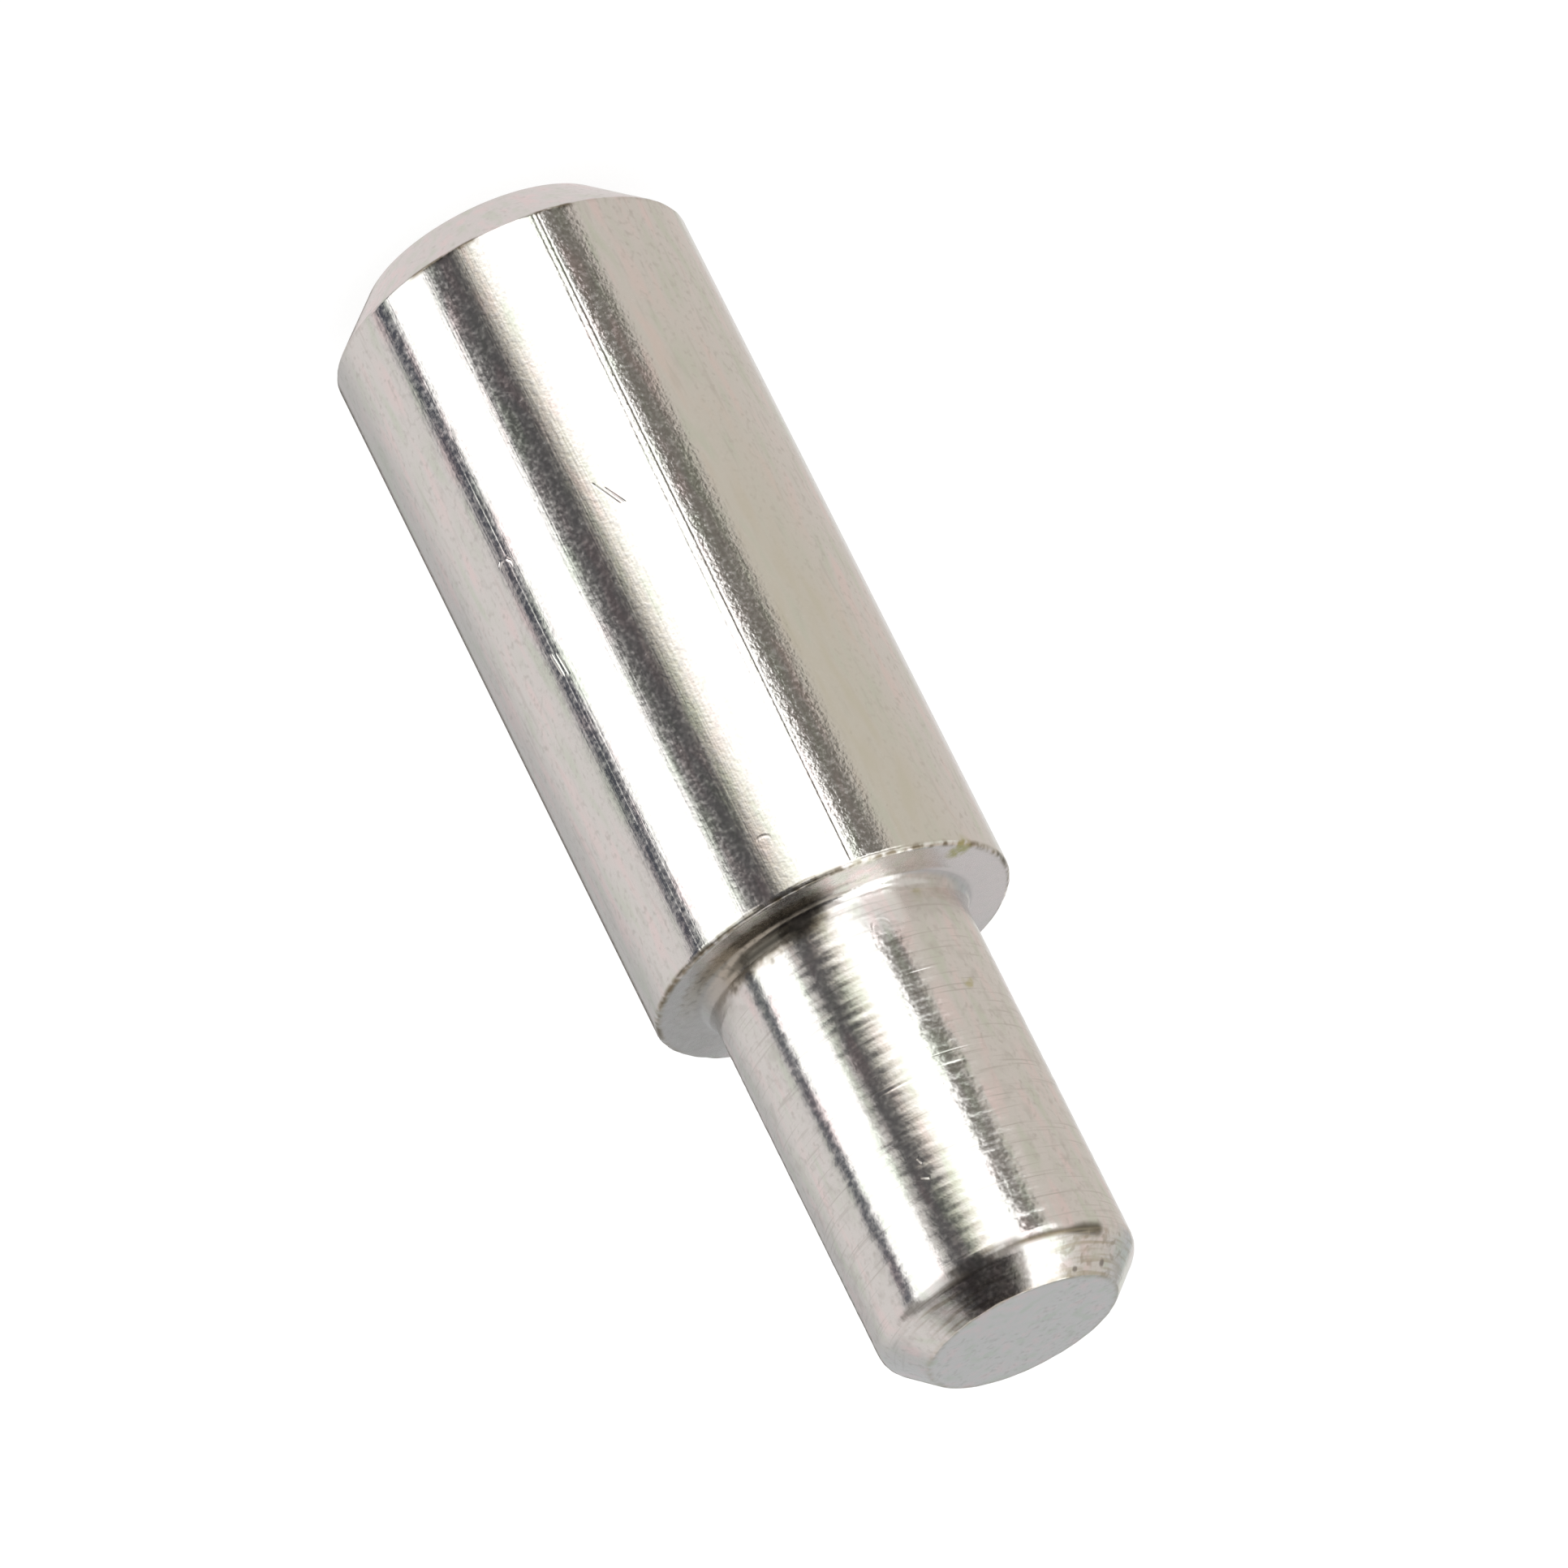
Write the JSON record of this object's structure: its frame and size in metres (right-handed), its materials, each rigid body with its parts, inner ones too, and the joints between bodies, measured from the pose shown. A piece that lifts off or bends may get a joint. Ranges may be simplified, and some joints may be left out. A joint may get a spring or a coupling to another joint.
{
  "type": "shelf support pin",
  "caption": "Stepped round metal pin: the thin spigot goes into a side panel hole, the shoulder stops against the panel and the thicker body carries the shelf.",
  "frame": {"origin": "centre of the flat end of the head, which the pin stands on", "axes": "+Z along the pin's axis, from the head through the body to the spigot; X and Y square to it, with no preferred turn because the pin is round"},
  "size_m": [0.007, 0.007, 0.0233],
  "materials": {
    "nickel_plate": "bright nickel plate over turned steel, with fine lathe marks and light scratches"
  },
  "bodies": {
    "root": {"shelf_pin": "nickel_plate"}
  },
  "joints": []
}
